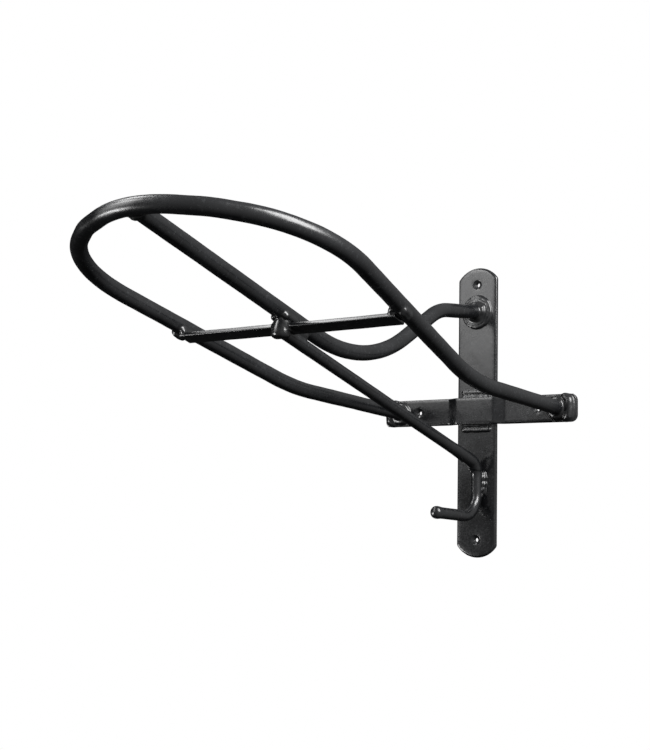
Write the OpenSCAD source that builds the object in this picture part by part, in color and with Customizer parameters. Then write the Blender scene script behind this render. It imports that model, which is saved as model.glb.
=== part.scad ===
// Wall-mounted saddle rack: a bent tube bow on a long spine, braced back to a steel wall plate.
// Millimetres. The wall is the plane Y = 0, the rack reaches out along -Y, +Z is up.
// The origin is on the wall, in the middle of the back plate.

/* [Back plate] */
// Height of the back plate
plate_height = 300; // [260:1:340]
// Width of the back plate
plate_width = 46; // [44:1:50]
// Thickness of the back plate, coating included
plate_thickness = 5; // [4:0.5:6]
// Radius of the arc across each end of the back plate
plate_end_radius = 28; // [26:1:40]
// Distance between the two screw holes of the back plate
plate_hole_spacing = 264; // [220:1:264]

/* [Cross strap] */
// Length of the strap that crosses the back plate
strap_length = 226; // [216:1:240]
// Height of the cross strap
strap_height = 28; // [24:1:32]
// Thickness of the cross strap
strap_thickness = 5; // [4:0.5:6]
// Corner radius of the cross strap
strap_corner_radius = 7; // [2:0.5:10]
// Length of each slanted step where the strap climbs over the plate
joggle_run = 10; // [8:1:16]
// Distance between the two screw holes of the strap
strap_hole_spacing = 140; // [130:1:150]

/* [Screw holes] */
// Diameter of the screw holes
hole_diameter = 5.5; // [4.5:0.5:6.5]
// Diameter of the countersink
countersink_diameter = 10; // [8:0.5:12]
// Depth of the countersink
countersink_depth = 2.5; // [1:0.5:3]

/* [Tubes and rod] */
// Outside diameter of the bow and spine tube
tube_diameter = 14.8; // [13:0.1:16]
// Wall of the tube
tube_wall = 2; // [1.2:0.1:3]
// Diameter of the brace and hook rod
rod_diameter = 11.4; // [10:0.1:13]

/* [Bow] */
// Slope of the bow above the horizontal
bow_slope = 17.3; // [12:0.1:20]
// Reach of the corner in the middle of the nose
nose_reach = 518; // [480:1:560]
// Bend radius in the middle of the nose
nose_radius = 110; // [90:1:115]
// Half width at the nose's own corner
shoulder_half_width = 66; // [60:1:70]
// Reach of that corner
shoulder_reach = 493; // [488:1:496]
// Bend radius of that corner
shoulder_radius = 85; // [60:1:88]
// Half width at the widest corner of the bow
flank_half_width = 135; // [120:1:140]
// Reach of the widest corner
flank_reach = 448; // [440:1:452]
// Height of the widest corner above the plate's middle
flank_height = 93.3; // [88:0.1:98]
// Bend radius of the widest corner
flank_radius = 100; // [70:1:104]
// Half width where the legs turn down to the wall
knee_half_width = 98; // [90:1:110]
// Reach of that turn
knee_reach = 184; // [170:1:210]
// Height of that turn above the plate's middle
knee_height = 10.5; // [5:0.5:20]
// Bend radius of that turn
knee_radius = 240; // [80:10:260]
// Half distance between the feet on the strap
foot_half_width = 93; // [88:1:96]

/* [Spine] */
// Slope of the straight front stretch of the spine
spine_slope = 16.9; // [14:0.1:19]
// Reach of the corner at the bottom of the dip
dip_reach = 206; // [190:1:220]
// Height of that corner
dip_height = 21.5; // [15:0.5:30]
// Bend radius of the dip
dip_radius = 175; // [120:5:190]
// Reach of the corner at the top of the rise
crest_reach = 80; // [70:1:95]
// Height of that corner
crest_height = 95.5; // [90:0.5:100]
// Bend radius of the crest
crest_radius = 75; // [50:1:100]
// Height of the boss on the back plate
boss_height = 103; // [100:1:108]
// Diameter of the boss
boss_diameter = 28; // [24:1:30]
// Thickness of the boss
boss_thickness = 3.5; // [2:0.5:6]

/* [Cross bar] */
// Length of the flat bar under the bow
bar_length = 232; // [224:1:236]
// Width of the flat bar
bar_width = 16; // [12:0.5:18]
// Thickness of the flat bar
bar_thickness = 4; // [3:0.1:5]
// Reach of the flat bar
bar_reach = 322; // [310:1:330]

/* [Brace and hook] */
// Slope of the brace
brace_slope = 17.05; // [16:0.05:19]
// Distance of the rod from the plate's middle line, to the right
rod_offset = 4; // [-5:0.5:5]
// Height of the corner where the brace turns down the plate
brace_corner_height = -55.2; // [-60:0.1:-50]
// Bend radius of that corner
brace_corner_radius = 18; // [14:1:26]
// Height of the corner where the rod turns out into the hook
hook_height = -109; // [-116:0.5:-106]
// Bend radius of the hook
hook_radius = 24; // [16:1:28]
// Reach of the hook's tip
hook_reach = 86; // [60:1:110]
// Rise of the hook towards its tip
hook_rise = 2.7; // [0:0.1:10]

/* [Hidden] */
$fn = 96;

tube_r = tube_diameter / 2;
rod_r = rod_diameter / 2;
strap_front = -strap_thickness;
crossing_front = -plate_thickness - strap_thickness;
boss_front = -plate_thickness - boss_thickness;
// How far the welds and rods sink into the flat bars, so that touching faces are not merely tangent
bite = 0.35;
// Room between the plate's edge and the start of the strap's step
step_clearance = 0.5;
// How far a tube runs on past the face that trims its end
overrun = 6;
// A straight length is this much slimmer than its bends, and runs this far into them
slip = 0.1;
slip_run = 0.5;
coat = "#1c1d20";
weld_coat = "#18191b";

// Corner points of the bow, from the left foot round the nose to the right foot
function bow_z(reach) = flank_height + (reach - flank_reach) * tan(bow_slope);
function mirrored(points) = [for (i = [len(points) - 1 : -1 : 0]) [-points[i][0], points[i][1], points[i][2]]];
function turned(values) = [for (i = [len(values) - 1 : -1 : 0]) values[i]];
bow_half = [
    [shoulder_half_width, -shoulder_reach, bow_z(shoulder_reach)],
    [flank_half_width, -flank_reach, bow_z(flank_reach)],
    [knee_half_width, -knee_reach, knee_height],
    [foot_half_width, strap_front + overrun, 0]
];
bow_half_radii = [shoulder_radius, flank_radius, knee_radius];
bow_points = concat(mirrored(bow_half), [[0, -nose_reach, bow_z(nose_reach)]], bow_half);
bow_radii = concat(turned(bow_half_radii), [nose_radius], bow_half_radii);

// The middle of the nose: the crown of the bend at the bow's front corner
nose_dir = unit(bow_half[0] - bow_points[4]);
nose_half_turn = acos(nose_dir[0]);
nose_inset = nose_radius * (1 / cos(nose_half_turn) - 1);
nose_point = bow_points[4] + nose_inset * [0, cos(bow_slope), -sin(bow_slope)];

// Corner points of the spine, in the rack's middle plane, from the nose to the boss
function spine_z(reach) = dip_height + (reach - dip_reach) * tan(spine_slope);
spine_points = [
    [0, nose_point[1], spine_z(-nose_point[1])],
    [0, -dip_reach, dip_height],
    [0, -crest_reach, crest_height],
    [0, boss_front + overrun, boss_height]
];
spine_radii = [dip_radius, crest_radius];

// The bow's rail where it crosses the flat bar, on the straight from the widest corner to the knee
rail_share = (bar_reach - knee_reach) / (flank_reach - knee_reach);
rail_x = knee_half_width + (flank_half_width - knee_half_width) * rail_share;
rail_z = knee_height + (flank_height - knee_height) * rail_share;
rail_point = [rail_x, -bar_reach, rail_z];
rail_dir = unit([flank_half_width - knee_half_width, knee_reach - flank_reach, flank_height - knee_height]);

// The flat bar lies under the bow and the spine, tilted with them
bar_top = rail_z - tube_r / cos(bow_slope) + bite;
bar_up = [0, sin(bow_slope), cos(bow_slope)];

// Corner points of the brace and hook rod, from the flat bar's middle to the hook's tip
rod_reach = plate_thickness + rod_r - bite;
// How far the brace runs on past the middle of the flat bar
brace_lap = 7;
brace_top_reach = bar_reach + brace_lap;
function brace_z(reach) = brace_corner_height + (reach - rod_reach) * tan(brace_slope);
rod_points = [
    [0, -brace_top_reach, brace_z(brace_top_reach)],
    [rod_offset, -rod_reach, brace_corner_height],
    [rod_offset, -rod_reach, hook_height],
    [rod_offset, -hook_reach, hook_height + (hook_reach - rod_reach) * tan(hook_rise)]
];
rod_radii = [brace_corner_radius, hook_radius];
hook_tip = rod_points[3];
// Swelling of the hook's rounded tip
tip_swell = 1.12;
// Upright stretch of the rod against the plate, which is welded on both sides
rod_weld_top = -64;
rod_weld_bottom = -84;

// Weld metal: size of the fillets round a tube's foot, and of the round beads elsewhere
foot_leg = 5;
foot_root = 2;
// Height of a fillet's rounded middle as a share of its leg
fillet_crown = 0.55;
end_bead_r = 5;
end_bead_half = 9;
nose_bead_r = 2.6;
boss_bead_r = 2.2;
boss_bead_offset = 1.3;
strap_bead_r = 3.4;
strap_bead_offset = 2.6;
strap_bead_share = 0.36;
bar_bead_r = 3;
// Half lengths of the beads under the bow's rails and under the spine
rail_bead_half = 4.5;
spine_bead_half = 6.5;
// Where those beads sit round the tube, as shares of its radius to the side and below its middle
bead_aside = 0.84;
bead_below = 0.66;
rod_bead_r = 3.2;
// Lump at the brace's upper end: its size, how far in front of the bar and how far above the brace it sits
lump = [16, 9, 16];
lump_forward = 1;
lump_raise = 6;
// Longer than anything that a trimming shape has to pass through
far = 60;

function unit(v) = v / norm(v);
// Turn at corner i of a chain of points, and how much of each side the bend takes up
function turn(points, i) =
    acos(max(-1, min(1, unit(points[i] - points[i - 1]) * unit(points[i + 1] - points[i]))));
function setback(points, radii, i) =
    i == 0 || i == len(points) - 1 ? 0 : radii[i - 1] * tan(turn(points, i) / 2);

// Places children so that their Z axis runs along a direction from a point
module aim(point, direction) {
    d = unit(direction);
    translate(point)
        rotate([0, acos(d[2]), atan2(d[1], d[0])])
            children();
}

// Places children in a frame given by its three axes
module in_frame(origin, x, y, z) {
    multmatrix([
        [x[0], y[0], z[0], origin[0]],
        [x[1], y[1], z[1], origin[1]],
        [x[2], y[2], z[2], origin[2]],
        [0, 0, 0, 1]
    ])
        children();
}

// A round bar bent through a chain of points, as straight lengths and true circular bends
module bent_bar(points, radii, r) {
    last = len(points) - 1;
    for (i = [0 : last - 1]) {
        along = unit(points[i + 1] - points[i]);
        start = setback(points, radii, i) - (i > 0 ? slip_run : 0);
        run = norm(points[i + 1] - points[i]) - setback(points, radii, i + 1);
        end = run + (i < last - 1 ? slip_run : 0);
        aim(points[i] + along * start, along)
            cylinder(r = r - slip, h = end - start);
    }
    for (i = [1 : last - 1]) {
        along = unit(points[i] - points[i - 1]);
        onward = unit(points[i + 1] - points[i]);
        start = points[i] - along * setback(points, radii, i);
        inward = unit(onward - along * (onward * along));
        center = start + inward * radii[i - 1];
        in_frame(center, -inward, along, cross(-inward, along))
            rotate_extrude(angle = turn(points, i), $fn = 180)
                translate([radii[i - 1], 0])
                    circle(r = r, $fn = 48);
    }
}

module bent_tube(points, radii) {
    difference() {
        bent_bar(points, radii, tube_r);
        bent_bar(points, radii, tube_r - tube_wall);
    }
}

// Everything behind a plane Y = front, which trims what meets a flat bar's face
module behind(front, x = 0, z = 0) {
    translate([x - far, front, z - far])
        cube([2 * far, far, 2 * far]);
}

// A screw hole along Y, countersunk from the front face
module screw_hole(x, z, front) {
    depth = plate_thickness + strap_thickness;
    translate([x, front, z])
        rotate([-90, 0, 0]) {
            cylinder(d = hole_diameter, h = 2 * depth, center = true);
            cylinder(d1 = countersink_diameter, d2 = hole_diameter, h = countersink_depth);
        }
}

// A weld bead: a straight run of round section
module bead(from, to, r) {
    aim(from, to - from)
        cylinder(r = r, h = norm(to - from), $fn = 48);
}

// A fillet weld round the foot of a tube that stands on a face; Z runs up the tube
module ring_weld(r, leg, root) {
    crown = fillet_crown * leg;
    rotate_extrude()
        polygon([[r - bite, -root], [r + leg, -root], [r + leg, 0], [r + crown, crown], [r - bite, leg]]);
}

module plate_outline() {
    center = plate_height / 2 - plate_end_radius;
    intersection() {
        square([plate_width, plate_height], center = true);
        union() {
            square([2 * plate_end_radius, 2 * center], center = true);
            for (z = [-center, center])
                translate([0, z])
                    circle(r = plate_end_radius);
        }
    }
}

module back_plate() {
    color(coat)
        difference() {
            rotate([90, 0, 0])
                linear_extrude(plate_thickness)
                    plate_outline();
            for (z = [-1, 1])
                screw_hole(0, z * plate_hole_spacing / 2, -plate_thickness);
        }
}

// The strap seen from above: flat wings on the wall, stepped forward over the plate
module strap_section() {
    half = strap_length / 2;
    flat = plate_width / 2 + step_clearance;
    foot = flat + joggle_run;
    polygon([
        [-half, 0], [-foot, 0], [-flat, -plate_thickness], [flat, -plate_thickness], [foot, 0], [half, 0],
        [half, strap_front], [foot, strap_front], [flat, crossing_front],
        [-flat, crossing_front], [-foot, strap_front], [-half, strap_front]
    ]);
}

module strap_outline() {
    x = strap_length / 2 - strap_corner_radius;
    z = strap_height / 2 - strap_corner_radius;
    square([strap_length, 2 * z], center = true);
    square([2 * x, strap_height], center = true);
    for (sx = [-x, x])
        for (sz = [-z, z])
            translate([sx, sz])
                circle(r = strap_corner_radius);
}

module cross_strap() {
    color(coat)
        difference() {
            intersection() {
                linear_extrude(strap_height, center = true)
                    strap_section();
                rotate([90, 0, 0])
                    linear_extrude(far, center = true)
                        strap_outline();
            }
            for (x = [-1, 1])
                screw_hole(x * strap_hole_spacing / 2, 0, strap_front);
        }
}

module bow_tube() {
    color(coat)
        difference() {
            bent_tube(bow_points, bow_radii);
            behind(strap_front, -foot_half_width);
            behind(strap_front, foot_half_width);
        }
}

// The bow's nose as a solid bar, which copes the end of the spine
module nose_bar(r) {
    bent_bar([bow_points[3], bow_points[4], bow_points[5]], [nose_radius], r);
}

module spine_tube() {
    color(coat)
        difference() {
            bent_tube(spine_points, spine_radii);
            nose_bar(tube_r - bite);
            behind(boss_front, 0, boss_height);
        }
}

module spine_boss() {
    color(coat)
        translate([0, -plate_thickness, boss_height])
            rotate([90, 0, 0])
                cylinder(d = boss_diameter, h = boss_thickness);
}

// Places children on the flat bar: X along it, Y across it, and Z = 0 on its upper face
module on_bar() {
    translate([0, -bar_reach, bar_top])
        rotate([-bow_slope, 0, 0])
            children();
}

// Everything below the bar's upper face, less a bite, along the whole bar
module under_bar_top() {
    on_bar()
        translate([-bar_length / 2, -far / 2, -far])
            cube([bar_length, far, far - bite]);
}

module cross_bar() {
    color(coat)
        on_bar()
            translate([-bar_length / 2, -bar_width / 2, -bar_thickness])
                cube([bar_length, bar_width, bar_thickness]);
}

module brace_hook_rod() {
    color(coat) {
        bent_bar(rod_points, rod_radii, rod_r);
        translate(hook_tip)
            sphere(r = rod_r * tip_swell, $fn = 64);
    }
}

// Weld round the foot of a leg, with a second run towards the end of the strap
module foot_weld(side) {
    foot_x = side * foot_half_width;
    bead_x = foot_x + side * (tube_r + end_bead_r + bite);
    color(weld_coat)
        difference() {
            union() {
                translate([foot_x, strap_front, 0])
                    rotate([90, 0, 0])
                        ring_weld(tube_r, foot_leg, foot_root);
                bead([bead_x, strap_front, -end_bead_half], [bead_x, strap_front, end_bead_half], end_bead_r);
            }
            behind(strap_front + bite, foot_x);
        }
}

module weld_foot_left() {
    foot_weld(-1);
}

module weld_foot_right() {
    foot_weld(1);
}

module weld_nose() {
    along = unit(spine_points[1] - spine_points[0]);
    seat = spine_points[0] + along * (tube_r + nose_bead_r / 2);
    color(weld_coat)
        difference() {
            aim(seat, along)
                rotate_extrude()
                    translate([tube_r - nose_bead_r / 4, 0])
                        circle(r = nose_bead_r, $fn = 32);
            nose_bar(tube_r - bite);
            aim(seat - along * far / 2, along)
                cylinder(r = tube_r - bite, h = far);
        }
}

module weld_spine_boss() {
    color(weld_coat)
        translate([0, boss_front, boss_height])
            rotate([90, 0, 0])
                difference() {
                    ring_weld(tube_r, foot_leg, bite);
                    cylinder(r = tube_r - bite, h = far, center = true);
                }
}

module weld_boss_plate() {
    color(weld_coat)
        difference() {
            translate([0, -plate_thickness + bite, boss_height])
                rotate([90, 0, 0])
                    difference() {
                        rotate_extrude()
                            translate([boss_diameter / 2 + boss_bead_offset, 0])
                                circle(r = boss_bead_r, $fn = 32);
                        cylinder(d = boss_diameter - 2 * bite, h = far, center = true);
                    }
            behind(-plate_thickness + bite, 0, boss_height);
        }
}

// Bead along one long edge of the strap, on the face of the plate
module strap_weld(side) {
    half = plate_width * strap_bead_share;
    z = side * (strap_height / 2 + strap_bead_offset);
    color(weld_coat)
        difference() {
            bead([-half, -plate_thickness, z], [half, -plate_thickness, z], strap_bead_r);
            behind(-plate_thickness + bite);
            translate([-far / 2, crossing_front - bite, -strap_height / 2 + bite])
                cube([far, far, strap_height - 2 * bite]);
        }
}

module weld_strap_top() {
    strap_weld(1);
}

module weld_strap_bottom() {
    strap_weld(-1);
}

// Beads in the crevice between the flat bar's upper face and a tube that crosses it
module crossing_beads(center, along, half) {
    across = unit(cross(along, bar_up));
    for (side = [-1, 1]) {
        base = center + tube_r * (bead_aside * side * across - bead_below * bar_up);
        bead(base - along * half, base + along * half, bar_bead_r);
    }
}

module weld_bar_right() {
    color(weld_coat)
        difference() {
            crossing_beads(rail_point, rail_dir, rail_bead_half);
            aim(rail_point - rail_dir * far / 2, rail_dir)
                cylinder(r = tube_r - bite, h = far);
            under_bar_top();
        }
}

module weld_bar_left() {
    mirror([1, 0, 0])
        weld_bar_right();
}

// A chain's first straight as a plain round bar, which trims the weld metal beside it
module first_straight(points, r) {
    aim(points[0], points[1] - points[0])
        cylinder(r = r, h = 4 * far);
}

// Weld metal between the spine and the flat bar
module weld_bar_spine() {
    center = [0, -bar_reach, spine_z(bar_reach)];
    color(weld_coat)
        difference() {
            crossing_beads(center, unit(spine_points[0] - spine_points[1]), spine_bead_half);
            first_straight(spine_points, tube_r - bite);
            under_bar_top();
        }
}

// Lump of weld metal that joins the end of the brace to the front edge of the flat bar
module weld_brace_bar() {
    color(weld_coat)
        difference() {
            translate([0, -bar_reach - bar_width / 2 - lump_forward, brace_z(bar_reach) + lump_raise])
                rotate([-bow_slope, 0, 0])
                    translate([-lump[0] / 2, -lump[1] / 3, -lump[2] / 2])
                        cube(lump);
            first_straight(spine_points, tube_r - bite);
            first_straight(rod_points, rod_r - bite);
            on_bar()
                translate([-far / 2, -bar_width / 2 + bite, -bar_thickness + bite])
                    cube([far, bar_width, bar_thickness - 2 * bite]);
        }
}

// Bead on one side of the rod's upright stretch, on the face of the plate
module rod_weld(side) {
    x = rod_offset + side * (rod_r - rod_bead_r / 4);
    color(weld_coat)
        difference() {
            bead([x, -plate_thickness, rod_weld_bottom], [x, -plate_thickness, rod_weld_top], rod_bead_r);
            translate([rod_offset, -rod_reach, rod_weld_bottom - far / 2])
                cylinder(r = rod_r - bite, h = 2 * far);
            behind(-plate_thickness + bite, 0, rod_weld_bottom);
        }
}

module weld_rod_left() {
    rod_weld(-1);
}

module weld_rod_right() {
    rod_weld(1);
}

back_plate();
cross_strap();
bow_tube();
spine_tube();
spine_boss();
cross_bar();
brace_hook_rod();
weld_foot_left();
weld_foot_right();
weld_nose();
weld_spine_boss();
weld_boss_plate();
weld_strap_top();
weld_strap_bottom();
weld_bar_left();
weld_bar_right();
weld_bar_spine();
weld_brace_bar();
weld_rod_left();
weld_rod_right();
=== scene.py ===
"""Wall-mounted saddle rack: coated surfaces, rounded bars and weld beads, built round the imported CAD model.

The rack's lengths are in millimetres, as in the CAD source, until make() turns them into metres.
The camera, the lights and the floor are in metres.
The wall is the plane Y = 0, the rack reaches out along -Y, and +Z is up.
"""

import math

import bpy
import numpy as np
from mathutils import Matrix, Vector
from mathutils.geometry import delaunay_2d_cdt


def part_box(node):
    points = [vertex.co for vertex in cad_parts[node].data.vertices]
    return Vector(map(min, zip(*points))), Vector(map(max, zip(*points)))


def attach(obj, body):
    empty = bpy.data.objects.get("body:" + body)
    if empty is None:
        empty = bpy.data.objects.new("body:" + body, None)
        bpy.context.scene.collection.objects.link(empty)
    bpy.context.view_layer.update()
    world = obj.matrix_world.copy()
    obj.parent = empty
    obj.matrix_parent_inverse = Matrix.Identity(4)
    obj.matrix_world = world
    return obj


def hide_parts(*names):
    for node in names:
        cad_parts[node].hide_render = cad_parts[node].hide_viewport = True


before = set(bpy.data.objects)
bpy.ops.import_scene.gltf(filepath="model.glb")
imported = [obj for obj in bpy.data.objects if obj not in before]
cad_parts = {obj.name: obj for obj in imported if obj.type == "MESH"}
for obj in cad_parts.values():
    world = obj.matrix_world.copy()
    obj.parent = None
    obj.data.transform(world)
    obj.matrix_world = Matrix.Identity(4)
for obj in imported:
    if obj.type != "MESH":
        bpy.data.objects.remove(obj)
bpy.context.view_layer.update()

MM = 0.001

# ---------------------------------------------------------------- the rack's lines, as in the CAD source

TUBE_R = 7.4
ROD_R = 5.7
BOW_SLOPE = 17.3
SPINE_SLOPE = 16.9
BRACE_SLOPE = 17.05
FLANK = (135.0, 448.0, 93.3)
KNEE = (98.0, 184.0, 10.5)
FOOT_X = 93.0
ROD_X = 4.0
BOW_SHOULDER_X, BOW_SHOULDER_REACH = 66, 493
NOSE_REACH = 518
DIP_REACH, DIP_Z = 206, 21.5
CREST_REACH, CREST_Z = 80, 95.5
BRACE_CORNER_Z = -55.2
HOOK_Z, HOOK_REACH, HOOK_RISE = -109, 86, 2.7
# How far a tube or rod sinks into the flat bar that it is welded to
BITE = 0.35


def box_mm(node):
    """Lowest and highest corner of a CAD node, in millimetres."""
    low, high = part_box(node)
    return np.array(low) / MM, np.array(high) / MM


plate_low, plate_high = box_mm("back_plate")
strap_low, strap_high = box_mm("cross_strap")
boss_low, boss_high = box_mm("spine_boss")
bar_low, bar_high = box_mm("cross_bar")
PLATE_T = plate_high[1] - plate_low[1]
STRAP_T = -strap_low[1] - PLATE_T
BOSS_FRONT = boss_low[1]
BOSS_Z = (boss_low[2] + boss_high[2]) / 2
BOSS_R = (boss_high[2] - boss_low[2]) / 2
STRAP_FRONT = -STRAP_T


def tan(degrees):
    return math.tan(math.radians(degrees))


def bow_z(reach):
    return FLANK[2] + (reach - FLANK[1]) * tan(BOW_SLOPE)


def spine_z(reach):
    return DIP_Z + (reach - DIP_REACH) * tan(SPINE_SLOPE)


def unit(v):
    v = np.asarray(v, float)
    return v / np.linalg.norm(v)


def bent(points, radii, step=2.0):
    """Evenly spaced points along a line through the corners, with a circular bend at each inner one."""
    points = [np.array(p, float) for p in points]
    line = [points[0]]
    for before, corner, after, r in zip(points, points[1:], points[2:], radii):
        into, out = unit(corner - before), unit(after - corner)
        angle = math.acos(float(np.clip(into @ out, -1, 1)))
        start = corner - into * r * math.tan(angle / 2)
        inward = unit(out - into * (into @ out))
        centre = start + inward * r
        for t in np.linspace(0, angle, max(6, int(angle * r / 0.8))):
            line.append(centre - inward * r * math.cos(t) + into * r * math.sin(t))
    line.append(points[-1])
    line = np.array(line)
    run = np.concatenate([[0], np.cumsum(np.linalg.norm(np.diff(line, axis=0), axis=1))])
    keep = np.concatenate([[True], np.diff(run) > 1e-6])
    line, run = line[keep], run[keep]
    even = np.linspace(0, run[-1], max(3, int(run[-1] / step)))
    return np.stack([np.interp(even, run, line[:, k]) for k in range(3)], axis=1)


# The photo's two legs weren't bent quite alike: the left knee is tighter than the right one. The CAD has
# both knees at KNEE with a bend of 240 mm, so the tube's middle line is up to 1.1 mm off the CAD's there.
BOW_CORNERS = [
    (-FOOT_X, STRAP_FRONT + 3, 0),
    (-98, -187, 12),
    (-FLANK[0], -FLANK[1], FLANK[2]),
    (-BOW_SHOULDER_X, -BOW_SHOULDER_REACH, bow_z(BOW_SHOULDER_REACH)),
    (0, -NOSE_REACH, bow_z(NOSE_REACH)),
    (BOW_SHOULDER_X, -BOW_SHOULDER_REACH, bow_z(BOW_SHOULDER_REACH)),
    (FLANK[0], -FLANK[1], FLANK[2]),
    (98.5, -180, 9),
    (FOOT_X, STRAP_FRONT + 3, 0),
]
BOW_BENDS = [200, 100, 85, 110, 85, 100, 300]
bow_line = bent(BOW_CORNERS, BOW_BENDS)
nose = bow_line[np.argmin(bow_line[:, 1])]

SPINE_CORNERS = [
    (0, nose[1], spine_z(-nose[1])),
    (0, -DIP_REACH, DIP_Z),
    (0, -CREST_REACH, CREST_Z),
    (0, BOSS_FRONT + 2, BOSS_Z),
]
spine_line = bent(SPINE_CORNERS, [175, 75])

ROD_REACH = PLATE_T + ROD_R - BITE


def brace_z(reach):
    return BRACE_CORNER_Z + (reach - ROD_REACH) * tan(BRACE_SLOPE)


BAR_REACH = -(bar_low[1] + bar_high[1]) / 2
ROD_CORNERS = [
    (0, -329, brace_z(329)),
    (ROD_X, -ROD_REACH, BRACE_CORNER_Z),
    (ROD_X, -ROD_REACH, HOOK_Z),
    (ROD_X, -HOOK_REACH, HOOK_Z + (HOOK_REACH - ROD_REACH) * tan(HOOK_RISE)),
]
rod_line = bent(ROD_CORNERS, [18, 24], 1.5)

# ---------------------------------------------------------------- small shared tools


def wobble(p, size, seed=0.0):
    """Smooth uneven bumps between about -1 and 1. size is their width in millimetres."""
    p = np.asarray(p, float) * (2 * math.pi / size)
    x, y, z = p[..., 0], p[..., 1], p[..., 2]
    a = np.sin(0.71 * x + 0.53 * y - 0.46 * z + 1.3 + seed)
    b = np.sin(-0.37 * x + 0.83 * y + 0.41 * z + 4.1 + 1.7 * seed)
    c = np.sin(0.29 * x - 0.44 * y + 0.88 * z + 2.6 + 2.3 * seed)
    d = np.sin(1.37 * x + 1.13 * y + 0.97 * z + 0.4 + 3.1 * seed + 1.2 * a)
    return (a + b + c + 0.7 * d) / 3.0


def make(name, points, faces, node, slot):
    """A piece from points in millimetres, which stands for a CAD node and rides on the rack's one body."""
    mesh = bpy.data.meshes.new(name)
    mesh.from_pydata([tuple(q) for q in np.asarray(points) * MM], [], [tuple(map(int, f)) for f in faces])
    mesh.validate()
    mesh.polygons.foreach_set("use_smooth", [True] * len(mesh.polygons))
    mesh.materials.append(finishes[slot])
    piece = bpy.data.objects.new(name, mesh)
    bpy.context.scene.collection.objects.link(piece)
    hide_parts(node)
    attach(piece, "root")
    return piece


def sweep(name, line, radius, node, slot, sides=40):
    """A round bar or tube along a line, with its radius at each place from radius(run, angle, point)."""
    n = len(line)
    tangent = np.gradient(line, axis=0)
    tangent /= np.linalg.norm(tangent, axis=1)[:, None]
    side = np.zeros_like(line)
    first = np.cross(tangent[0], (0, 0, 1.0))
    side[0] = unit(first)
    for i in range(1, n):
        side[i] = unit(side[i - 1] - tangent[i] * (side[i - 1] @ tangent[i]))
    other = np.cross(tangent, side)
    run = np.concatenate([[0], np.cumsum(np.linalg.norm(np.diff(line, axis=0), axis=1))])
    angle = np.linspace(0, 2 * math.pi, sides, endpoint=False)
    way = np.cos(angle)[None, :, None] * side[:, None] + np.sin(angle)[None, :, None] * other[:, None]
    on_skin = line[:, None] + way * TUBE_R
    r = radius(run[:, None] + 0 * angle[None], angle[None] + 0 * run[:, None], on_skin)
    points = (line[:, None] + way * r[..., None]).reshape(-1, 3)
    points = np.vstack([points, line[0], line[-1]])
    i, j = np.meshgrid(np.arange(n - 1), np.arange(sides), indexing="ij")
    k = (j + 1) % sides
    around = [i * sides + j, i * sides + k, (i + 1) * sides + k, (i + 1) * sides + j]
    faces = np.stack(around, -1).reshape(-1, 4)
    faces = [tuple(f) for f in faces]
    for j in range(sides):
        faces.append(((j + 1) % sides, j, n * sides))
        faces.append(((n - 1) * sides + j, (n - 1) * sides + (j + 1) % sides, n * sides + 1))
    return make(name, points, faces, node, slot)


def fill(loops, spacing, inside):
    """Triangles that fill the first loop around the other ones, with extra points on a grid where inside()
    is true. Gives all points, loops first and in order, and the triangles."""
    points, edges = [], []
    for loop in loops:
        base = len(points)
        points += [tuple(q) for q in loop]
        edges += [(base + i, base + (i + 1) % len(loop)) for i in range(len(loop))]
    low, high = np.min(loops[0], axis=0), np.max(loops[0], axis=0)
    count = np.maximum(((high - low) / spacing).astype(int), 1)
    u, v = np.meshgrid(*[np.linspace(low[k], high[k], count[k] + 1) for k in (0, 1)], indexing="ij")
    grid = np.stack([u.ravel(), v.ravel()], axis=1)
    grid = grid[inside(grid, spacing * 0.45)]
    points += [tuple(q) for q in grid]
    made, _, triangles, origin, _, _ = delaunay_2d_cdt([Vector(q) for q in points], edges, [], 0, 1e-7)
    home = [o[0] if o else -1 for o in origin]
    middles = np.array([np.mean([made[i] for i in t], axis=0) for t in triangles])
    keep = inside(middles, 0.0)
    return np.array(points), [tuple(home[i] for i in t) for t, k in zip(triangles, keep) if k]


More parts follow.
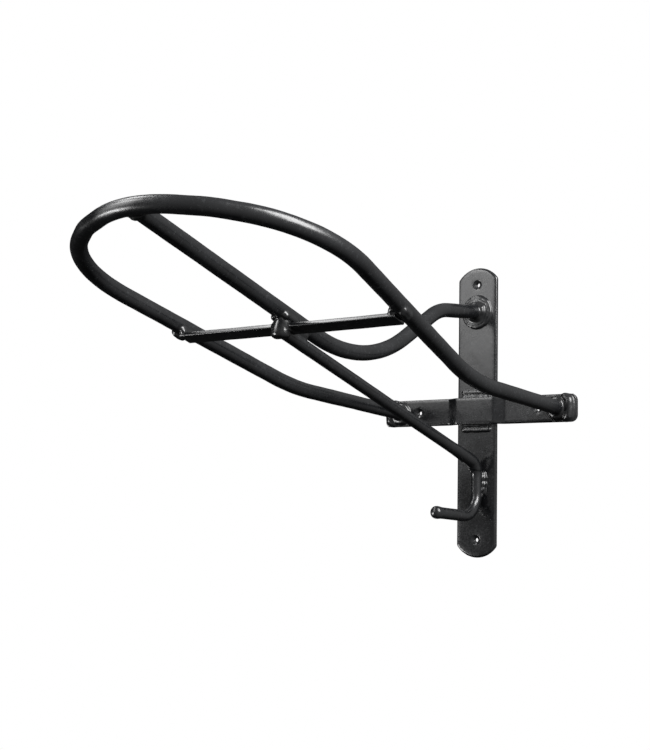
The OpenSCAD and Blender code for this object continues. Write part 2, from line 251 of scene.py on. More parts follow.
def flat_piece(name, outline, outward, holes, thickness, roll, spacing, place, node, slot):
    """A flat bar with rolled edges and countersunk holes. outline is a loop of points with its outward
    directions, holes are (x, z), and place(across, up, depth) puts a point behind the front face by depth.
    The holes are narrower than the CAD's, to look as they do in the photo."""
    half_hole, half_sink, sink, ease = 2.1, 4.7, 1.5, 0.7
    turn = np.radians(np.linspace(0, 90, 6))
    edge = [(roll * (1 - math.sin(a)), roll * (1 - math.cos(a))) for a in turn]
    edge += [(inset, thickness - depth) for inset, depth in edge[::-1]]
    bore = [(half_sink + ease, 0), (half_sink + 0.35 * ease, 0.10 * ease), (half_sink - 0.1, 0.55 * ease)]
    bore += [(half_hole + 0.5, sink - 0.3), (half_hole + 0.1, sink + 0.1), (half_hole, sink + 0.7)]
    bore += [(half_hole, thickness - 0.5), (half_hole + 0.3, thickness)]
    circle = np.radians(np.arange(0, 360, 10))
    ring = np.stack([np.cos(circle), np.sin(circle)], axis=1)

    def inside(q, margin, inset, hole_r):
        ok = np.ones(len(q), bool)
        a = outline - outward * (inset + margin)
        b = np.roll(a, -1, axis=0)
        side = (b[None, :, 0] - a[None, :, 0]) * (q[:, None, 1] - a[None, :, 1])
        side -= (b[None, :, 1] - a[None, :, 1]) * (q[:, None, 0] - a[None, :, 0])
        ok &= (side > -1e-9).all(axis=1)
        for h in holes:
            ok &= np.hypot(q[:, 0] - h[0], q[:, 1] - h[1]) > hole_r + margin
        return ok

    points, faces = [], []

    def face(inset, depth, hole_r, flip):
        loops = [outline - outward * inset] + [np.array(h) + ring * hole_r for h in holes]
        flat, triangles = fill(loops, spacing, lambda q, m: inside(q, m, inset, hole_r))
        base = len(points)
        points.extend((q[0], q[1], depth) for q in flat)
        faces.extend(tuple(base + i for i in (t[::-1] if flip else t)) for t in triangles)
        starts, at = [], base
        for loop in loops:
            starts.append(at)
            at += len(loop)
        return starts

    def skirt(first, last, count, middle_loops, flip):
        rows = [range(first, first + count)]
        for loop, depth in middle_loops:
            rows.append(range(len(points), len(points) + count))
            points.extend((q[0], q[1], depth) for q in loop)
        rows.append(range(last, last + count))
        for a, b in zip(rows, rows[1:]):
            for i in range(count):
                j = (i + 1) % count
                quad = (a[i], a[j], b[j], b[i])
                faces.append(quad[::-1] if flip else quad)

    front = face(edge[0][0], 0.0, bore[0][0], False)
    back = face(edge[-1][0], thickness, bore[-1][0], True)
    rim = [(outline - outward * inset, depth) for inset, depth in edge[1:-1]]
    skirt(front[0], back[0], len(outline), rim, True)
    for k, h in enumerate(holes):
        wall = [(np.array(h) + ring * r, depth) for r, depth in bore[1:-1]]
        skirt(front[k + 1], back[k + 1], len(ring), wall, False)
    placed = np.array([place(*q) for q in points])
    return make(name, placed, faces, node, slot)


def rounded_rectangle(half_x, half_z, r, step):
    """Outline and outward directions, anticlockwise seen from the front."""
    loop, out = [], []
    for quarter, (sx, sz) in enumerate([(1, 1), (-1, 1), (-1, -1), (1, -1)]):
        for a in np.radians(np.linspace(0, 90, 7) + 90 * quarter):
            n = np.array([math.cos(a), math.sin(a)])
            loop.append(np.array([sx * (half_x - r), sz * (half_z - r)]) + n * r)
            out.append(n)
    return subdivided(np.array(loop), np.array(out), step)


def subdivided(loop, out, step):
    """The same loop with points added wherever two are further apart than step."""
    points, ways = [], []
    for a, b, m, n in zip(loop, np.roll(loop, -1, axis=0), out, np.roll(out, -1, axis=0)):
        parts = max(1, int(np.linalg.norm(b - a) / step))
        for t in np.arange(parts) / parts:
            points.append(a + (b - a) * t)
            ways.append(unit(m + (n - m) * t))
    return np.array(points), np.array(ways)


# ---------------------------------------------------------------- weld metal: a skin round overlapping drops

# A distance larger than any in a weld's grid
FAR_OFF = 99.0
# A bent tube counts for a weld's grid when it passes this close to it
NEARBY = 14
# How far the weld's skin lies inside the bars it runs on to, and in front of the wall
UNDER_BAR, OFF_WALL = 0.25, 0.15


def capsule(p, a, b, r):
    """Distance from points p to a round-ended bar from a to b."""
    a, b = np.array(a, float), np.array(b, float)
    t = np.clip(((p - a) @ (b - a)) / ((b - a) @ (b - a)), 0, 1)
    return np.linalg.norm(p - a - t[..., None] * (b - a), axis=-1) - r


def along_line(p, line, r, low, high):
    """Distance to the part of a bent tube that passes near the box from low to high."""
    ends = list(zip(line[:-1], line[1:]))
    above = [(np.maximum(a, b) > low - NEARBY).all() for a, b in ends]
    below = [(np.minimum(a, b) < high + NEARBY).all() for a, b in ends]
    near = [i for i in range(len(ends)) if above[i] and below[i]]
    far = np.full(p.shape[:-1], FAR_OFF)
    for i in near[::2]:
        far = np.minimum(far, capsule(p, line[i], line[min(i + 2, len(line) - 1)], r))
    return far


def slab(p, centre, axes, half):
    """Distance to a box with the given centre, axes and half sizes."""
    along = [(p - np.array(centre, float)) @ np.array(a, float) for a in axes]
    q = np.abs(np.stack(along, axis=-1)) - np.array(half)
    return np.linalg.norm(np.maximum(q, 0), axis=-1) + np.minimum(q.max(axis=-1), 0)


def soft_min(a, b, k):
    h = np.clip(0.5 + 0.5 * (b - a) / k, 0, 1)
    return b + (a - b) * h - k * h * (1 - h)


def skin(values, low, step):
    """A closed mesh where values, sampled on a grid, cross zero.
    It has one point in each mixed cell and one quad over each crossed edge."""
    inside = values < 0
    n = np.array(values.shape)
    total = np.zeros(tuple(n - 1) + (3,))
    count = np.zeros(tuple(n - 1))
    corners = np.array([(i, j, k) for i in (0, 1) for j in (0, 1) for k in (0, 1)])
    for a in corners:
        for axis in range(3):
            if a[axis]:
                continue
            b = a.copy()
            b[axis] = 1
            sa = tuple(slice(a[m], n[m] - 1 + a[m]) for m in range(3))
            sb = tuple(slice(b[m], n[m] - 1 + b[m]) for m in range(3))
            va, vb = values[sa], values[sb]
            cross = (va < 0) != (vb < 0)
            t = np.where(cross, va / np.where(cross, va - vb, 1), 0)
            for m in range(3):
                total[..., m] += np.where(cross, a[m] + (t if m == axis else 0), 0)
            count += cross
    used = count > 0
    index = np.full(used.shape, -1)
    index[used] = np.arange(used.sum())
    cells = np.argwhere(used)
    points = low + (cells + total[used] / count[used][:, None]) * step
    faces = []
    for axis in range(3):
        u, v = (axis + 1) % 3, (axis + 2) % 3
        sa = [slice(None)] * 3
        sb = [slice(None)] * 3
        sa[axis], sb[axis] = slice(0, -1), slice(1, None)
        flip = inside[tuple(sa)] & ~inside[tuple(sb)]
        other = ~inside[tuple(sa)] & inside[tuple(sb)]
        for which, turned in ((flip, False), (other, True)):
            at = np.argwhere(which)
            at = at[(at[:, u] > 0) & (at[:, v] > 0) & (at[:, u] < n[u] - 1) & (at[:, v] < n[v] - 1)]
            du, dv = np.eye(3, dtype=int)[u], np.eye(3, dtype=int)[v]
            quad = [index[tuple((at - p).T)] for p in (du + dv, dv, 0 * du, du)]
            quad = np.stack(quad[::-1] if turned else quad, axis=1)
            faces += [tuple(q) for q in quad]
    return points, faces


def weld(name, drops, solids, node, step=0.6, join=1.5, foot=2.8, show=3.2, rough=0.07, seed=0.0):
    """Weld metal as drops (x, y, z, radius) that run together and into the bars beside them. Its skin stays
    within show of the drops. join and foot say how widely drops blend with each other and with the bars."""
    drops = np.array(drops, float)
    reach = drops[:, 3].max() + show + 2 * step
    low, high = drops[:, :3].min(axis=0) - reach, drops[:, :3].max(axis=0) + reach
    axes = [np.arange(low[k], high[k] + step, step) for k in range(3)]
    p = np.stack(np.meshgrid(*axes, indexing="ij"), axis=-1)
    bead = np.full(p.shape[:-1], FAR_OFF)
    for x, y, z, r in drops:
        bead = soft_min(bead, np.linalg.norm(p - (x, y, z), axis=-1) - r, join)
    bead = bead + rough * wobble(p, 7.0, seed)
    bars = np.full(p.shape[:-1], FAR_OFF)
    for solid in solids:
        bars = np.minimum(bars, solid(p, low, high) + UNDER_BAR)
    body = np.maximum(soft_min(bead, bars, foot), bead - show)
    body = np.maximum(body, p[..., 1] + OFF_WALL)
    points, faces = skin(body, low, step)
    return make(name, points, faces, node, "coated_weld")


def spread(seed, count, low, high):
    """Uneven numbers between low and high, the same every time."""
    return np.random.default_rng(seed).uniform(low, high, count)


def ring_drops(centre, x, y, r, drop, count, seed, start=0.0, end=360.0, uneven=0.06):
    """Drops along an arc in the plane of directions x and y."""
    centre, x, y = np.array(centre, float), np.array(x, float), np.array(y, float)
    out = []
    sizes = spread(seed, count, 1 - uneven, 1 + uneven)
    shifts = spread(seed + 1, count, -0.5, 0.5)
    for i, (size, shift) in enumerate(zip(sizes, shifts)):
        a = math.radians(start + (end - start) * (i + 0.25 * shift) / count)
        q = centre + (x * math.cos(a) + y * math.sin(a)) * (r + 0.3 * shift)
        out.append((*q, drop * size))
    return out


def row_drops(a, b, drop, count, seed, uneven=0.08):
    """Drops from a to b."""
    a, b = np.array(a, float), np.array(b, float)
    sizes = spread(seed, count, 1 - uneven, 1 + uneven)
    shifts = spread(seed + 1, count, -0.3, 0.3)
    ends = np.linspace(0, 1, count)
    return [(*(a + (b - a) * t + (0, 0, s)), drop * size) for t, s, size in zip(ends, shifts, sizes)]


# ---------------------------------------------------------------- finishes


def coating(name, colour, roughness, spread_of_roughness, peel, peel_width, grain_depth):
    """Thick black coating with orange peel, uneven gloss and faint paler specks. peel and grain_depth are
    bump depths and peel_width is the bumps' width, all in millimetres."""
    m = bpy.data.materials.new(name)
    m.use_nodes = True
    nodes, links = m.node_tree.nodes, m.node_tree.links
    shader = nodes["Principled BSDF"]
    where = nodes.new("ShaderNodeTexCoord")

    def noise(width_mm, detail, rough):
        n = nodes.new("ShaderNodeTexNoise")
        n.inputs["Scale"].default_value = 1000.0 / width_mm
        n.inputs["Detail"].default_value = detail
        n.inputs["Roughness"].default_value = rough
        links.new(where.outputs["Object"], n.inputs["Vector"])
        return n.outputs["Fac"]

    def span(value, low, high, to_low, to_high):
        n = nodes.new("ShaderNodeMapRange")
        n.inputs["From Min"].default_value = low
        n.inputs["From Max"].default_value = high
        n.inputs["To Min"].default_value = to_low
        n.inputs["To Max"].default_value = to_high
        links.new(value, n.inputs["Value"])
        return n.outputs["Result"]

    mottle = noise(38.0, 3.0, 0.6)
    grain = noise(1.1, 2.0, 0.5)
    ramp = nodes.new("ShaderNodeValToRGB")
    ramp.color_ramp.elements[0].position = 0.30
    ramp.color_ramp.elements[0].color = (*[c * 0.72 for c in colour], 1)
    ramp.color_ramp.elements[1].position = 0.72
    ramp.color_ramp.elements[1].color = (*[c * 1.35 for c in colour], 1)
    links.new(mottle, ramp.inputs["Fac"])
    dust = nodes.new("ShaderNodeMix")
    dust.data_type = "RGBA"
    dust.inputs["B"].default_value = (0.034, 0.036, 0.038, 1)
    links.new(ramp.outputs["Color"], dust.inputs["A"])
    links.new(span(noise(3.2, 4.0, 0.7), 0.56, 0.74, 0.0, 0.55), dust.inputs["Factor"])
    links.new(dust.outputs["Result"], shader.inputs["Base Color"])

    gloss = nodes.new("ShaderNodeMath")
    gloss.operation = "ADD"
    smoothest, roughest = roughness - spread_of_roughness, roughness + spread_of_roughness
    links.new(span(mottle, 0.30, 0.70, smoothest, roughest), gloss.inputs[0])
    links.new(span(grain, 0.35, 0.75, -0.03, 0.06), gloss.inputs[1])
    links.new(gloss.outputs["Value"], shader.inputs["Roughness"])

    fine = nodes.new("ShaderNodeBump")
    fine.inputs["Strength"].default_value = 0.5
    fine.inputs["Distance"].default_value = grain_depth * MM
    links.new(grain, fine.inputs["Height"])
    broad = nodes.new("ShaderNodeBump")
    broad.inputs["Strength"].default_value = 0.6
    broad.inputs["Distance"].default_value = peel * MM
    links.new(noise(peel_width, 2.5, 0.55), broad.inputs["Height"])
    links.new(fine.outputs["Normal"], broad.inputs["Normal"])
    links.new(broad.outputs["Normal"], shader.inputs["Normal"])
    shader.inputs["Specular IOR Level"].default_value = 0.5
    shader.inputs["Metallic"].default_value = 0.0
    return m


finishes = {
    "coated_tube": coating("coated_tube", (0.0042, 0.0045, 0.0052), 0.27, 0.08, 0.16, 4.0, 0.05),
    "coated_flat": coating("coated_flat", (0.0034, 0.0036, 0.0041), 0.21, 0.06, 0.09, 6.5, 0.03),
    "coated_weld": coating("coated_weld", (0.0032, 0.0034, 0.0038), 0.29, 0.06, 0.07, 4.0, 0.03),
}

# ---------------------------------------------------------------- plate, strap and flat bar

half_w, half_h = (plate_high[0] - plate_low[0]) / 2, (plate_high[2] - plate_low[2]) / 2
END_R, SHOULDER_R = 28.0, 4.5
PLATE_HOLE_Z, STRAP_HOLE_X = 132, 70
PLATE_HOLES = [(0, -PLATE_HOLE_Z), (0, PLATE_HOLE_Z)]
STRAP_HOLES = [(-STRAP_HOLE_X, 0), (STRAP_HOLE_X, 0)]


def plate_outline():
    """The plate's outline: straight sides, an arc across each end, and rounded shoulders between them."""
    centre = half_h - END_R
    lean = math.asin((half_w - SHOULDER_R) / (END_R - SHOULDER_R))
    shoulder = np.array([half_w - SHOULDER_R, centre + (END_R - SHOULDER_R) * math.cos(lean)])
    quarter = []
    for a in np.linspace(0, math.pi / 2 - lean, 6):
        n = np.array([math.cos(a), math.sin(a)])
        quarter.append((shoulder + n * SHOULDER_R, n))
    for a in np.linspace(math.pi / 2 - lean, math.pi / 2, 10)[1:]:
        n = np.array([math.cos(a), math.sin(a)])
        quarter.append((np.array([0, centre]) + n * END_R, n))
    upper = quarter + [(q * (-1, 1), n * (-1, 1)) for q, n in quarter[-2::-1]]
    loop = upper + [(q * (-1, -1), n * (-1, -1)) for q, n in upper]
    return subdivided(np.array([q for q, _ in loop]), np.array([n for _, n in loop]), 3.0)


def wave(across, up, depth, thickness, seed, size):
    """The coating's slow unevenness on a flat face, none at the back."""
    front = max(0.0, 1.0 - depth / (0.6 * thickness))
    return 0.07 * front * float(wobble((across, up, 0.0), size, seed))


def on_plate(across, up, depth):
    return across, -PLATE_T + depth - wave(across, up, depth, PLATE_T, 0.3, 34.0), up


def smooth_step(t):
    t = min(max(t, 0.0), 1.0)
    return t * t * (3 - 2 * t)


def on_strap(across, up, depth):
    foot, flat = half_w + 10.5, half_w - 2.0
    lift = PLATE_T * smooth_step((foot - abs(across)) / (foot - flat))
    return across, -lift - STRAP_T + depth - wave(across, up, depth, STRAP_T, 2.1, 26.0), up


BAR_T, BAR_HALF_W = 4.0, 8.0
RAIL_SHARE = (BAR_REACH - KNEE[1]) / (FLANK[1] - KNEE[1])
RAIL_X = KNEE[0] + (FLANK[0] - KNEE[0]) * RAIL_SHARE
RAIL_Z = KNEE[2] + (FLANK[2] - KNEE[2]) * RAIL_SHARE
BAR_TOP = RAIL_Z - TUBE_R / math.cos(math.radians(BOW_SLOPE)) + BITE
bar_out = np.array([0, math.cos(math.radians(BOW_SLOPE)), -math.sin(math.radians(BOW_SLOPE))])
bar_up = np.array([0, math.sin(math.radians(BOW_SLOPE)), math.cos(math.radians(BOW_SLOPE))])
bar_middle = np.array([0, -BAR_REACH, BAR_TOP]) - bar_up * BAR_T / 2


def on_bar(across, up, depth):
    """The flat bar lies with its width along the bow's slope."""
    q = bar_middle + bar_out * up + bar_up * (BAR_T / 2 - depth)
    sag = 0.25 * float(wobble((across, 0, 0), 90.0, 1.0))
    return across, q[1] + sag * 0.5, q[2] + sag


outline, outward = plate_outline()
flat_piece(
    "plate_coated", outline, outward, PLATE_HOLES, PLATE_T, 2.4, 4.0, on_plate, "back_plate", "coated_flat"
)
outline, outward = rounded_rectangle(strap_high[0], strap_high[2], 7.0, 2.0)
flat_piece(
    "strap_coated", outline, outward, STRAP_HOLES, STRAP_T, 2.0, 2.0, on_strap, "cross_strap", "coated_flat"
)
outline, outward = rounded_rectangle(bar_high[0], BAR_HALF_W, 1.4, 2.0)
flat_piece("bar_coated", outline, outward, [], BAR_T, 1.0, 2.2, on_bar, "cross_bar", "coated_flat")

# ---------------------------------------------------------------- tubes, rod and boss


def tube_skin(seed):
    """The tube's radius: a little under the CAD's, with broad and fine unevenness."""

    def radius(run, angle, p):
        return TUBE_R - 0.20 + 0.09 * wobble(p, 46.0, seed) + 0.05 * wobble(p, 17.0, seed + 1)

    return radius


def rod_skin(run, angle, p):
    """The rod's radius: thicker near the plate, and a little swollen and rounded off at its free end."""
    left = run.max() - run
    bulb = 0.65 * np.exp(-(((left - 6.0) / 4.5) ** 2))
    build_up = np.clip(1.1 * np.exp(-(((p[..., 1] + 22.0) / 26.0) ** 2)) * (p[..., 2] > -62.0), 0, 1.1)
    cap = np.sqrt(np.clip(1 - np.clip(1 - left / 4.2, 0, 1) ** 2, 0.0, 1))
    return (ROD_R - 0.05 + bulb + build_up + 0.05 * wobble(p, 24.0, 0.7)) * (0.08 + 0.92 * cap)


sweep("bow_coated", bow_line, tube_skin(0.2), "bow_tube", "coated_tube", 44)
sweep("spine_coated", spine_line, tube_skin(1.4), "spine_tube", "coated_tube", 44)

tip_way = unit(rod_line[-1] - rod_line[-2])
rod_whole = np.vstack([rod_line, rod_line[-1] + tip_way[None] * np.linspace(0.6, 5.6, 11)[:, None]])
sweep("rod_coated", rod_whole, rod_skin, "brace_hook_rod", "coated_tube", 40)


def lathe(name, profile, place, node, slot, sides=72):
    """A round piece from (radius, height) pairs, closed at both ends."""
    angle = np.linspace(0, 2 * math.pi, sides, endpoint=False)
    points = [place(r * math.cos(a), r * math.sin(a), h) for r, h in profile for a in angle]
    points += [place(0, 0, profile[0][1]), place(0, 0, profile[-1][1])]
    faces = []
    for i in range(len(profile) - 1):
        for j in range(sides):
            k = (j + 1) % sides
            faces.append((i * sides + j, i * sides + k, (i + 1) * sides + k, (i + 1) * sides + j))
    last = (len(profile) - 1) * sides
    for j in range(sides):
        k = (j + 1) % sides
        faces.append((k, j, len(points) - 2))
        faces.append((last + j, last + k, len(points) - 1))
    return make(name, points, faces, node, slot)


boss_t = -BOSS_FRONT - PLATE_T
boss_profile = [(BOSS_R - 0.3, 0.0), (BOSS_R, 0.6), (BOSS_R - 0.1, 1.0)]
boss_profile += [(BOSS_R - 0.5, 1.5), (BOSS_R - 1.4, 2.0)]
boss_profile += [(11.4, 2.5), (10.2, 2.9), (9.2, 3.2), (8.2, 3.4), (7.0, boss_t)]


def on_boss(u, v, height):
    lump = 0.10 * float(wobble((u, v, height), 15.0, 0.9))
    return u, -PLATE_T + 0.3 - height - lump * min(1.0, height), BOSS_Z + v


lathe("boss_coated", boss_profile, on_boss, "spine_boss", "coated_flat")

# ---------------------------------------------------------------- welds


def plate_solid(p, low, high):
    return slab(p, (0, -PLATE_T / 2, 0), np.eye(3), (half_w, PLATE_T / 2, half_h))


def wings_solid(p, low, high):
    return slab(p, (0, -STRAP_T / 2, 0), np.eye(3), (strap_high[0], STRAP_T / 2, strap_high[2]))


def crossing_solid(p, low, high):
    return slab(p, (0, -PLATE_T - STRAP_T / 2, 0), np.eye(3), (half_w, STRAP_T / 2, strap_high[2]))


def boss_solid(p, low, high):
    q = p - np.array([0, (BOSS_FRONT - PLATE_T) / 2, BOSS_Z])
    d = np.stack([np.hypot(q[..., 0], q[..., 2]) - BOSS_R, np.abs(q[..., 1]) - boss_t / 2], axis=-1)
    return np.linalg.norm(np.maximum(d, 0), axis=-1) + np.minimum(d.max(axis=-1), 0)


def bar_solid(p, low, high):
    return slab(p, bar_middle, [(1, 0, 0), bar_out, bar_up], (bar_high[0], BAR_HALF_W, BAR_T / 2))


def bow_solid(p, low, high):
    return along_line(p, bow_line, TUBE_R, low, high)


def spine_solid(p, low, high):
    return along_line(p, spine_line, TUBE_R, low, high)


def rod_solid(p, low, high):
    return along_line(p, rod_line, ROD_R, low, high)


X, Y, Z = np.eye(3)

for side, node, seed in ((-1, "weld_foot_left", 11), (1, "weld_foot_right", 23)):
    foot = np.array([side * FOOT_X, STRAP_FRONT, 0])
    drops = ring_drops(foot - Y * 0.8, X * side, Z, TUBE_R + 1.2, 2.8, 26, seed)
    outer = foot + X * side * (TUBE_R + 5.0) - Y * 0.6
    drops += row_drops(outer - Z * 8.0, outer + Z * 8.0, 3.9, 9, seed + 2)
    drops += ring_drops(foot - Y * 0.2, X * side, Z, TUBE_R + 6.2, 3.2, 12, seed + 4, -50, 65)
    name = f"foot_weld_{'left' if side < 0 else 'right'}"
    weld(name, drops, [wings_solid, bow_solid], node, join=2.2, seed=seed)

spine_way = unit(spine_line[1] - spine_line[0])
spine_top = np.cross(X, spine_way)
nose_seat = spine_line[0] + spine_way * (TUBE_R + 0.8)
drops = ring_drops(nose_seat, X, spine_top, TUBE_R - 0.4, 1.7, 18, 31)
weld("nose_weld", drops, [bow_solid, spine_solid], "weld_nose", foot=3.2, rough=0.12, seed=3)

drops = ring_drops((0, BOSS_FRONT + 0.2, BOSS_Z), X, Z, TUBE_R + 0.4, 1.7, 26, 41, uneven=0.03)
drops += [(8.0, BOSS_FRONT - 1.0, BOSS_Z + 3.0, 2.7), (8.2, BOSS_FRONT - 0.8, BOSS_Z - 0.6, 2.5)]
weld("spine_foot_weld", drops, [boss_solid, spine_solid], "weld_spine_boss", rough=0.03, join=2.4, seed=4)
drops = ring_drops((0, -PLATE_T - 0.2, BOSS_Z), X, Z, BOSS_R + 1.3, 2.1, 48, 51, uneven=0.04)
solids = [boss_solid, plate_solid]
weld("boss_weld", drops, solids, "weld_boss_plate", rough=0.04, step=0.5, foot=1.2, join=2.0, seed=5)

for side, node, seed in ((1, "weld_strap_top", 61), (-1, "weld_strap_bottom", 71)):
    edge, toe = side * (strap_high[2] + 0.4), side * (strap_high[2] + 5.4)
    drops = row_drops((-15.0, -PLATE_T - 0.4, edge), (15.0, -PLATE_T - 0.4, edge), 2.3, 14, seed, 0.08)
    uneven = 0.02 if side > 0 else 0.08
    drops += row_drops((-15.6, -PLATE_T, toe), (15.6, -PLATE_T, toe), 1.6, 34, seed + 2, uneven)
    name = f"strap_weld_{'top' if side > 0 else 'bottom'}"
    solids = [plate_solid, crossing_solid]
    weld(name, drops, solids, node, rough=0.03, step=0.45, foot=1.6, join=1.8, seed=seed)

rail_way = unit((FLANK[0] - KNEE[0], KNEE[1] - FLANK[1], FLANK[2] - KNEE[2]))
for side, node, seed in ((-1, "weld_bar_left", 81), (1, "weld_bar_right", 91)):
    rail = np.array([side * RAIL_X, -BAR_REACH, RAIL_Z])
    way = rail_way * (side, 1, 1)
    across = unit(np.cross(way, bar_up))
    drops = []
    for k, turn_side in enumerate((-1, 1)):
        base = rail + across * turn_side * TUBE_R * 0.80 - bar_up * TUBE_R * 0.72
        drops += row_drops(base - way * 5.2, base + way * 5.2, 2.4, 8, seed + 3 * k, 0.12)
    outer_sign = side * (1 if across[0] > 0 else -1)
    base = rail + across * outer_sign * TUBE_R * 0.55 - bar_up * TUBE_R * 1.0
    drops += row_drops(base - way * 4.5, base + way * 4.5, 2.5, 7, seed + 7, 0.12)
    weld(f"bar_weld_{'left' if side < 0 else 'right'}", drops, [bar_solid, bow_solid], node, seed=seed)

spine_at_bar = np.array([0, -BAR_REACH, spine_z(BAR_REACH)])
drops = []
for k, turn_side in enumerate((-1, 1)):
    base = spine_at_bar + X * turn_side * TUBE_R * 0.86 - bar_up * TUBE_R * 0.62
    drops += row_drops(base - bar_out * 7.0, base + bar_out * 7.0, 2.7, 9, 101 + 3 * k, 0.10)
weld("spine_bar_weld", drops, [bar_solid, spine_solid], "weld_bar_spine", join=2.2, seed=6)

lump = np.array([0, -BAR_REACH - 8.0, brace_z(BAR_REACH) + 5.5])
places = [(u, v) for u in (-4.4, -2.2, 0, 2.2, 4.4) for v in (-5.5, -1.0, 3.5)]
drops = [(*(lump + X * u + bar_up * v + bar_out * abs(u) * 0.45), 4.2) for u, v in places]
drops += [(*(lump + X * u + bar_out * 4 - bar_up * 4.5), 3.8) for u in (-4.0, 4.0)]
# a run in the crevice between the spine and the brace, behind the bar
for t in np.linspace(0, 16, 9):
    between = (spine_z(BAR_REACH - 8 - t) + brace_z(BAR_REACH - 8 - t)) / 2
    drops += [(u, -BAR_REACH + BAR_HALF_W + t, between, 2.6) for u in (-2.2, 2.2)]
solids = [bar_solid, spine_solid, rod_solid]
weld("brace_bar_weld", drops, solids, "weld_brace_bar", rough=0.12, join=3.0, seed=7)

for side, node, seed in ((-1, "weld_rod_left", 121), (1, "weld_rod_right", 131)):
    x = ROD_X + side * (ROD_R - 0.4)
    drop = 2.4 if side > 0 else 1.7
    drops = row_drops((x, -PLATE_T - 0.4, -83), (x, -PLATE_T - 0.4, -65), drop, 12, seed)
    if side > 0:
        drops += [(x + 0.8, -PLATE_T - 1.4, -69.0, 2.6), (x + 0.7, -PLATE_T - 1.4, -75.5, 2.6)]
        drops += [(x - 0.6, -PLATE_T - 3.6, -81.0, 2.2), (x - 0.6, -PLATE_T - 3.6, -87.0, 2.2)]
    name = f"rod_weld_{'left' if side < 0 else 'right'}"
    weld(name, drops, [plate_solid, rod_solid], node, step=0.5, foot=1.8, seed=seed)

# ---------------------------------------------------------------- camera


def look(azimuth, elevation, roll):
    """A camera's axes when it looks along an azimuth from +Y towards -X, rises by elevation and rolls."""
    a, e, r = (math.radians(v) for v in (azimuth, elevation, roll))
    ahead = np.array([-math.sin(a) * math.cos(e), math.cos(a) * math.cos(e), math.sin(e)])
    right = np.array([math.cos(a), math.sin(a), 0])
    up = np.cross(right, ahead)
    turned_right = right * math.cos(r) + up * math.sin(r)
    turned_up = up * math.cos(r) - right * math.sin(r)
    return turned_right, turned_up, ahead


CAMERA_AT = (0.69815, -1.19372, -0.11632)
CAMERA_AZIMUTH, CAMERA_ELEVATION, CAMERA_ROLL = 36.98, 6.63, 1.175
camera_data = bpy.data.cameras.new("camera")
camera_data.lens = 63.88
camera_data.sensor_width = 36.0
camera_data.clip_start, camera_data.clip_end = 0.05, 60.0
camera_data.shift_x, camera_data.shift_y = 0.0001, -0.0111
camera = bpy.data.objects.new("camera", camera_data)
bpy.context.scene.collection.objects.link(camera)
right, up, ahead = look(CAMERA_AZIMUTH, CAMERA_ELEVATION, CAMERA_ROLL)
turned = Matrix(np.array([right, up, -ahead]).T.tolist()).to_4x4()
camera.matrix_world = Matrix.Translation(CAMERA_AT) @ turned
bpy.context.scene.camera = camera

# ---------------------------------------------------------------- studio


def softbox(name, at, towards, width, height, radiance):
    """A softbox whose face has the given radiance, hidden from the camera itself."""
    data = bpy.data.lights.new(name, "AREA")
    data.shape = "RECTANGLE"
    data.size, data.size_y = width, height
    data.energy = radiance * math.pi * width * height
    lamp = bpy.data.objects.new(name, data)
    lamp.location = at
    lamp.rotation_mode = "QUATERNION"
    lamp.rotation_quaternion = (Vector(towards) - Vector(at)).to_track_quat("-Z", "Y")
    lamp.visible_camera = False
    bpy.context.scene.collection.objects.link(lamp)


softbox("key_right", (1.24, -0.62, 1.05), (0.05, -0.42, 0.10), 1.0, 1.4, 20)
softbox("low_left", (-1.84, -1.60, -0.62), (0.0, -0.48, 0.10), 0.50, 0.62, 34)
softbox("front_left", (-0.55, -0.88, 0.46), (0.0, 0.0, 0.08), 0.42, 0.56, 3.2)
softbox("front_left_low", (-0.57, -0.90, 0.22), (0.0, 0.0, 0.06), 0.42, 0.36, 1.2)
softbox("front_left_high", (-0.50, -0.84, 0.56), (0.0, -0.33, 0.05), 0.24, 0.22, 10)
softbox("upper_left", (-0.96, -0.55, 1.30), (0.0, -0.05, 0.05), 0.45, 0.45, 11)

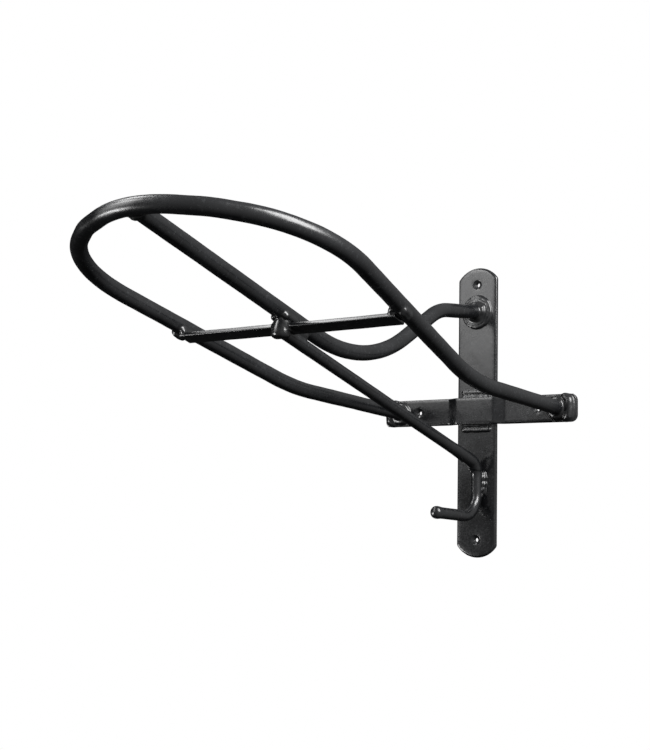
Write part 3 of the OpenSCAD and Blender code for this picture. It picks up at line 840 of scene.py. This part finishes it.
floor_mesh = bpy.data.meshes.new("floor")
FLOOR_Z, FLOOR_R, FLOOR_SIDES = -0.9, 2.6, 96
turns = np.linspace(0, 2 * math.pi, FLOOR_SIDES, endpoint=False)
ring = [(FLOOR_R * math.cos(a), FLOOR_R * math.sin(a), FLOOR_Z) for a in turns]
floor_mesh.from_pydata(ring, [], [tuple(range(FLOOR_SIDES))])
floor = bpy.data.objects.new("floor", floor_mesh)
bpy.context.scene.collection.objects.link(floor)
floor_paint = bpy.data.materials.new("floor_paint")
floor_paint.use_nodes = True
floor_paint.node_tree.nodes["Principled BSDF"].inputs["Base Color"].default_value = (0.8, 0.8, 0.8, 1)
floor_paint.node_tree.nodes["Principled BSDF"].inputs["Roughness"].default_value = 0.8
floor_mesh.materials.append(floor_paint)
floor.visible_glossy = False
floor.visible_diffuse = False

world = bpy.data.worlds.new("studio")
bpy.context.scene.world = world
world.use_nodes = True
nodes, links = world.node_tree.nodes, world.node_tree.links
room = nodes["Background"]
whither = nodes.new("ShaderNodeTexCoord")
facing = nodes.new("ShaderNodeVectorMath")
facing.operation = "DOT_PRODUCT"
facing.inputs[1].default_value = (0.45, -0.15, 0.25)
links.new(whither.outputs["Generated"], facing.inputs[0])
glow = nodes.new("ShaderNodeMapRange")
glow.inputs["From Min"].default_value = -0.26
glow.inputs["From Max"].default_value = 0.55
glow.inputs["To Min"].default_value = 0.015
glow.inputs["To Max"].default_value = 0.80
links.new(facing.outputs["Value"], glow.inputs["Value"])
links.new(glow.outputs["Result"], room.inputs["Strength"])
room.inputs["Color"].default_value = (1, 1, 1, 1)
paper = nodes.new("ShaderNodeBackground")
paper.inputs["Color"].default_value = (1, 1, 1, 1)
paper.inputs["Strength"].default_value = 1.0
path = nodes.new("ShaderNodeLightPath")
either = nodes.new("ShaderNodeMixShader")
links.new(path.outputs["Is Camera Ray"], either.inputs["Fac"])
links.new(room.outputs["Background"], either.inputs[1])
links.new(paper.outputs["Background"], either.inputs[2])
links.new(either.outputs["Shader"], nodes["World Output"].inputs["Surface"])
bpy.context.scene.view_settings.view_transform = "Standard"
